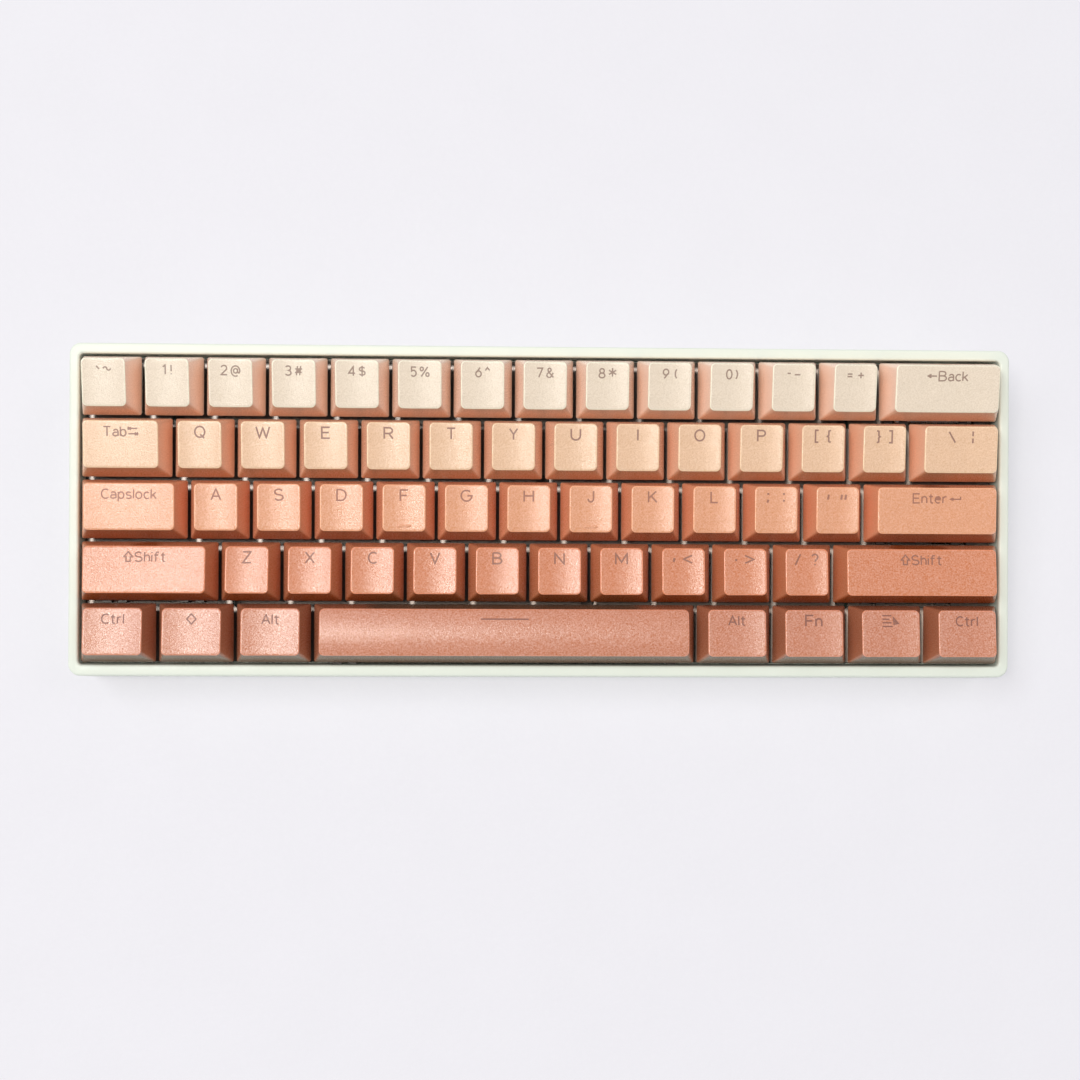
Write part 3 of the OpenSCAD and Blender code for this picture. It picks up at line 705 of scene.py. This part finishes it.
def stroke_points(text, scale):
    """The chain of points of one stroke, close enough together to follow a dished top."""
    chain = []
    for item in text.split():
        if ":" in item:
            cx, cy, rx, ry, first, last = (float(v) for v in item.split(":"))
            steps = max(4, round(abs(last - first) / ARC_STEP))
            for turn in np.radians(np.linspace(first, last, steps + 1)):
                chain.append((cx + rx * math.cos(turn), cy + ry * math.sin(turn)))
        else:
            chain.append(tuple(float(v) for v in item.split(",")))
    chain = [np.array(p) * scale for p in chain]
    dense = [chain[0]]
    for point in chain[1:]:
        length = np.linalg.norm(point - dense[-1])
        if length < SHORTEST_STEP:
            continue
        steps = math.ceil(length / LONGEST_STEP)
        start = dense[-1]
        dense += [start + (point - start) * (k + 1) / steps for k in range(steps)]
    return np.array(dense)


def stroke_quads(chain, width):
    """The quads of a stroke of even width, mitred where it turns."""
    closed = np.linalg.norm(chain[0] - chain[-1]) < SHORTEST_STEP and len(chain) > 3
    if closed:
        chain = chain[:-1]
    count = len(chain)
    before, after = np.roll(chain, 1, axis=0), np.roll(chain, -1, axis=0)
    ahead = after - chain
    behind = chain - before
    if not closed:
        behind[0], ahead[-1] = ahead[0], behind[-1]
    ahead /= np.linalg.norm(ahead, axis=1)[:, None]
    behind /= np.linalg.norm(behind, axis=1)[:, None]
    tangent = ahead + behind
    tangent /= np.maximum(np.linalg.norm(tangent, axis=1), 1e-6)[:, None]
    normal = np.stack([-tangent[:, 1], tangent[:, 0]], axis=1)
    stretch = 1 / np.maximum((tangent * ahead).sum(1), SHARPEST_MITRE)
    left = chain + normal * (width / 2 * stretch)[:, None]
    right = chain - normal * (width / 2 * stretch)[:, None]
    last = count if closed else count - 1
    return [[right[i], right[(i + 1) % count], left[(i + 1) % count], left[i]] for i in range(last)]


def glyph_width(glyph):
    """The width of a glyph whose capitals are 1 high."""
    return max(stroke_points(s, 1.0)[:, 0].max() for s in GLYPHS[glyph].split("|"))


def legend_outline(text, size):
    """The quads of a whole legend, centred on X, with the middle of its capitals at Y = 0."""
    quads, x = [], 0.0
    even = STROKE * (SMALL_STROKE_SHARE if size < LETTER_SIZE else 1)
    for glyph in text:
        if glyph == " ":
            x += SPACE * size
            continue
        for stroke in GLYPHS[glyph].split("|"):
            chain = stroke_points(stroke, size) + (x, -size / 2)
            quads += stroke_quads(chain, even * STROKE_SHARES.get(glyph, 1))
        x += (glyph_width(glyph) + GLYPH_GAP) * size
    middle = (x - GLYPH_GAP * size) / 2
    return [[(px - middle, py) for px, py in quad] for quad in quads]


def legend_mesh(text, size, shape):
    """The legend as a thin inlay that follows the keycap's top."""
    centre_y = shape.top_y + shape.top_half_d - LEGEND_DROP
    points, faces = [], []
    for quad in legend_outline(text, size):
        faces.append(list(range(len(points), len(points) + 4)))
        points += [Vector((px, py + centre_y)) for px, py in quad]
    flat, _, triangles, _, _, origins = delaunay_2d_cdt(points, [], faces, 1, 1e-4)
    triangles = [t for t, origin in zip(triangles, origins) if origin]
    flat = np.array([tuple(p) for p in flat])
    height = shape.top(flat[:, 0], flat[:, 1])
    above = np.column_stack([flat, height + LEGEND_PROUD])
    below = np.column_stack([flat, height - LEGEND_SUNK])
    count = len(flat)
    edges = {(t[k], t[(k + 1) % 3]) for t in triangles for k in range(3)}
    rim = [(a, b) for a, b in edges if (b, a) not in edges]
    faces = [tuple(t) for t in triangles] + [tuple(i + count for i in reversed(t)) for t in triangles]
    faces += [(b, a, a + count, b + count) for a, b in sorted(rim)]
    return np.concatenate([above, below]), faces


# ---- The tray and the springs ----

def make_tray(material):
    """The tray, from its CAD shape, with its rim rounded on both sides."""
    rim = on_plate(points_of("case_tray"))[:, 2].max() - RIM_SLACK * MM
    points, triangles = joined(solids_of("case_tray"))
    mesh = bmesh.new()
    corners = [mesh.verts.new(p) for p in points]
    for triangle in triangles:
        mesh.faces.new([corners[i] for i in triangle])
    mesh.normal_update()
    bmesh.ops.dissolve_limit(mesh, angle_limit=math.radians(FLAT), verts=mesh.verts, edges=mesh.edges)
    edges = [
        e for e in mesh.edges
        if len(e.link_faces) == 2 and e.calc_face_angle() > math.radians(SHARP)
        and min(v.co.z for v in e.verts) > rim
    ]
    bmesh.ops.bevel(mesh, geom=edges, offset=RIM_RADIUS * MM, offset_type="OFFSET",
                    segments=RIM_SEGMENTS, profile=0.5, affect="EDGES", clamp_overlap=False)
    mesh.verts.ensure_lookup_table()
    mesh.verts.index_update()
    points = [tuple(PLATE @ v.co) for v in mesh.verts]
    faces = [tuple(v.index for v in f.verts) for f in mesh.faces]
    mesh.free()
    piece = new_piece("tray_shell", points, faces, sharp=TRAY_SHARP)
    piece.data.materials.append(material)
    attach(piece, "root")
    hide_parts("case_tray")


def spring_mesh(x, y):
    """A wound spring whose turns lie closer together at its ends."""
    steps, sides = SPRING_TURNS * STEPS_PER_TURN, WIRE_SIDES
    points = []
    for share in np.linspace(0, 1, steps + 1):
        turn = 2 * math.pi * SPRING_TURNS * share
        rise = share - SPRING_CROWDING * math.sin(2 * math.pi * share)
        middle = SPRING_LOW + WIRE_RADIUS + (SPRING_HIGH - SPRING_LOW - 2 * WIRE_RADIUS) * rise
        for k in range(sides):
            around = 2 * math.pi * (k + 0.5) / sides
            radius = COIL_RADIUS + WIRE_RADIUS * math.cos(around)
            z = middle + WIRE_RADIUS * math.sin(around)
            points.append((x + radius * math.cos(turn), y + radius * math.sin(turn), z))
    ends = [tuple(range(sides)), tuple(range(steps * sides, (steps + 1) * sides))[::-1]]
    faces = []
    for i in range(steps):
        first = np.arange(sides) + i * sides
        faces += ring_faces(first + sides, first)
    return np.array(points), ends + faces


# ---- Materials ----

def start_material(name):
    """A new material with its node tree and its shader."""
    material = bpy.data.materials.new(name)
    material.use_nodes = True
    tree = material.node_tree
    return material, tree, tree.nodes["Principled BSDF"]


def add(tree, kind, **values):
    """A shader node, with its inputs or properties set by name."""
    node = tree.nodes.new(kind)
    for key, value in values.items():
        if key in node.inputs:
            node.inputs[key].default_value = value
        else:
            setattr(node, key, value)
    return node


def noise(tree, scale, detail):
    """A noise in the piece's own coordinates."""
    where = add(tree, "ShaderNodeTexCoord")
    texture = add(tree, "ShaderNodeTexNoise", Scale=scale, Detail=detail)
    tree.links.new(where.outputs["Object"], texture.inputs["Vector"])
    return texture.outputs["Fac"]


def spread(tree, value, low, high):
    """Maps a noise value to the range from low to high."""
    node = add(tree, "ShaderNodeMapRange", clamp=True)
    for name, number in zip(("From Min", "From Max", "To Min", "To Max"), (*NOISE_RANGE, low, high)):
        node.inputs[name].default_value = number
    tree.links.new(value, node.inputs["Value"])
    return node.outputs["Result"]


def bump(tree, shader, layers):
    """Stacks bumps on a shader: (value, strength, depth in metres)."""
    normal = None
    for value, strength, depth in layers:
        node = add(tree, "ShaderNodeBump", Strength=strength, Distance=depth)
        tree.links.new(value, node.inputs["Height"])
        if normal is not None:
            tree.links.new(normal, node.inputs["Normal"])
        normal = node.outputs["Normal"]
    tree.links.new(normal, shader.inputs["Normal"])


def tinted(tree, shader, colour_output, value):
    """Multiplies a colour by a value and gives it to the shader."""
    node = add(tree, "ShaderNodeVectorMath", operation="SCALE")
    tree.links.new(colour_output, node.inputs[0])
    tree.links.new(value, node.inputs["Scale"])
    tree.links.new(node.outputs["Vector"], shader.inputs["Base Color"])


def colour_node(tree, colour):
    """A constant colour from hexadecimal sRGB."""
    node = add(tree, "ShaderNodeRGB")
    node.outputs[0].default_value = (*linear(colour), 1)
    return node.outputs[0]


def textured(name, colour, roughness, grain, depth, mottle=0.05, metallic=0.0):
    """A material with a fine grain of the given size and depth in metres, uneven colour and gloss."""
    material, tree, shader = start_material(name)
    shader.inputs["Metallic"].default_value = metallic
    fine = noise(tree, GRAIN_SCALE / grain, 3)
    broad = noise(tree, BROAD_SCALE, 4)
    tinted(tree, shader, colour_node(tree, colour), spread(tree, broad, 1 - mottle, 1 + mottle))
    gloss = spread(tree, fine, roughness - GLOSS_SPREAD[0], roughness + GLOSS_SPREAD[1])
    tree.links.new(gloss, shader.inputs["Roughness"])
    bump(tree, shader, [(broad, BROAD_BUMP, grain), (fine, GRAIN_BUMP, depth)])
    return material


def cap_plastic():
    """Painted keycap plastic: its colours, with their painted shade and highlights, come from the points;
    its satin grain bumps the surface and adds painted glints to the colour.
    """
    material, tree, shader = start_material("cap_plastic")
    paint = add(tree, "ShaderNodeAttribute", attribute_name="paint")
    grain = noise(tree, CAP_FINE_SCALE, 1)
    coarse = noise(tree, CAP_COARSE_SCALE, 2)
    cloud = noise(tree, CAP_CLOUD_SCALE, 3)
    # Painted glints: the grain lightens and darkens the colour
    painted_glints = add(tree, "ShaderNodeMath", operation="MULTIPLY")
    tree.links.new(spread(tree, coarse, -1, 1), painted_glints.inputs[0])
    tree.links.new(paint.outputs["Alpha"], painted_glints.inputs[1])
    both = add(tree, "ShaderNodeVectorMath", operation="MULTIPLY_ADD")
    tree.links.new(paint.outputs["Color"], both.inputs[0])
    tree.links.new(spread(tree, cloud, *CAP_CLOUD), both.inputs[1])
    tree.links.new(painted_glints.outputs[0], both.inputs[2])
    tree.links.new(both.outputs["Vector"], shader.inputs["Base Color"])
    tree.links.new(spread(tree, grain, *CAP_ROUGHNESS), shader.inputs["Roughness"])
    shader.inputs["Specular IOR Level"].default_value = CAP_SPECULAR
    bump(tree, shader, [(coarse, 1.0, CAP_COARSE_DEPTH * MM), (grain, 1.0, CAP_FINE_DEPTH * MM)])
    return material


# ---- Lights, floor and camera ----

def area_light(name, direction, distance, size, power, colour):
    """A rectangular light of the given width and depth that looks at the keyboard."""
    lamp = bpy.data.lights.new(name, "AREA")
    lamp.shape = "RECTANGLE"
    lamp.size, lamp.size_y = size
    lamp.energy = power
    lamp.color = colour
    holder = bpy.data.objects.new(name, lamp)
    bpy.context.scene.collection.objects.link(holder)
    away = Vector(direction).normalized()
    holder.location = away * distance
    holder.rotation_mode = "QUATERNION"
    holder.rotation_quaternion = away.to_track_quat("Z", "Y")
    return holder


def make_floor():
    """The sheet of paper under the keyboard, which glows faintly."""
    signs = ((-1, -1), (1, -1), (1, 1), (-1, 1))
    points = [(x * FLOOR_HALF, y * FLOOR_HALF, -FLOOR_DROP) for x, y in signs]
    floor = new_piece("floor", points, [(0, 1, 2, 3)])
    paper = textured(*FLOOR_FINISH)
    glow = paper.node_tree.nodes["Principled BSDF"].inputs
    glow["Emission Color"].default_value = FLOOR_GLOW
    glow["Emission Strength"].default_value = FLOOR_GLOW_STRENGTH
    floor.data.materials.append(paper)


def light_the_gaps():
    """A narrow light that reaches only the switch plate, through the gaps between the caps.
    What it lights there isn't mirrored in the caps' sides."""
    beam = area_light(*GAP_LIGHT)
    reached = bpy.data.collections.new("lit_through_gaps")
    plate = frame["nodes"]["switch_plate"]
    plate.visible_glossy = False
    reached.objects.link(plate)
    beam.light_linking.receiver_collection = reached


def make_world():
    """The even light of the room."""
    world = bpy.data.worlds.new("soft_room")
    world.use_nodes = True
    background = world.node_tree.nodes["Background"].inputs
    background["Color"].default_value = ROOM_COLOUR
    background["Strength"].default_value = ROOM_STRENGTH
    bpy.context.scene.world = world


def make_camera():
    """Almost straight above the keyboard, from a little left of its middle and in front of it."""
    data = bpy.data.cameras.new("camera")
    data.sensor_width = CAMERA_SENSOR
    data.lens = CAMERA_LENS
    camera = bpy.data.objects.new("camera", data)
    bpy.context.scene.collection.objects.link(camera)
    turn = Vector([math.radians(v) for v in CAMERA_TURN])
    camera.rotation_mode = "QUATERNION"
    camera.rotation_quaternion = Matrix.Rotation(turn.length, 3, turn).to_quaternion()
    camera.location = Vector(CAMERA_PLACE) * MM
    bpy.context.scene.camera = camera


def make_studio():
    """The room, the floor, the lights and the camera."""
    make_world()
    make_floor()
    for light in LIGHTS:
        area_light(*light)
    light_the_gaps()
    make_camera()
    bpy.context.scene.view_settings.view_transform = "Standard"


# ---- The keyboard ----

def key_nodes():
    """Each key node with its caps, as (node, [(name, legend), ...])."""
    nodes = dict(SHARED_NODES)
    for node in frame["nodes"]:
        if node in NAMED_KEYS:
            nodes[node] = [(node.replace("_key", ""), NAMED_KEYS[node])]
        elif node.endswith("_key") and len(node) == len("q_key"):
            nodes[node] = [(node[0], node[0].upper())]
    return nodes


def legend_size(text):
    """The capital height of a legend: words, pairs of a digit and a sign, and single letters differ."""
    is_word = len(text.strip()) > 2 and text[0].isalpha()
    if is_word or text[0] in "←⇧◇─":
        return WORD_SIZE
    return SYMBOL_SIZE if text[-1] in "~!@#$%^&*()_+" else LETTER_SIZE


def carried(name, node, points, faces, matrix, material):
    """A piece that rides on the body of a key node and takes the place of its CAD shape."""
    piece = new_piece(name, points, faces, matrix)
    piece.data.materials.append(material)
    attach(piece, node)
    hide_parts(node)


def make_springs(node, sliders, material):
    """The springs under a key node, in place of the CAD model's springs."""
    points, faces = joined([spring_mesh(x, y) for x, y in sliders])
    spring = new_piece(node + "_springs", points * MM, faces, PLATE, sharp=SPRING_SHARP)
    spring.data.materials.append(material)
    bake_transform(spring)
    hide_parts("switch_springs")


def make_keys():
    """The caps, legends, springs and stems of every key node."""
    plastic = cap_plastic()
    inks = [textured(f"legend_ink_{i + 1}", c, *INK_FINISH) for i, c in enumerate(LEGEND_INKS)]
    stem_plastic = textured(*STEM_FINISH)
    steel = textured(*SPRING_FINISH, metallic=1)
    pitch = abs(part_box("q_key")[0][0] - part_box("w_key")[0][0])
    for node, caps in key_nodes().items():
        solids = solids_of(node)
        wide = [s for s in solids if width_of(s) > WIDEST_STEM * MM]
        wide.sort(key=lambda s: (round(-centre(s)[1] / pitch), centre(s)[0]))
        for (name, text), solid in zip(caps, wide, strict=True):
            middle = centre(solid)
            row = round(2 - middle[1] / pitch)
            place = PLATE @ Matrix.Translation((middle[0], middle[1], solid[0][:, 2].min()))
            cap, shape = make_cap(name, row, solid, place, plastic)
            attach(cap, node)
            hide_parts(node)
            inlay, faces = legend_mesh(text, legend_size(text), shape)
            carried(name + "_legend", node, inlay * MM, faces, place, inks[row])
        sliders = [centre(s)[:2] / MM for s in solids if is_slider(s)]
        make_springs(node, sliders, steel)
        stems = joined([s for s in solids if width_of(s) < WIDEST_STEM * MM])
        carried(node + "_stems", node, *stems, PLATE, stem_plastic)


def finish_nodes():
    """Gives every CAD node that stays its material."""
    finishes = {name: textured(*finish) for name, finish in NODE_FINISHES.items()}
    finishes |= {name: textured(*finish, metallic=1) for name, finish in METAL_FINISHES.items()}
    for node, holder in frame["nodes"].items():
        for name, material in finishes.items():
            if node == name or node.endswith("_" + name):
                holder.data.materials.clear()
                holder.data.materials.append(material)


make_studio()
make_keys()
make_tray(textured(*TRAY_FINISH))
finish_nodes()
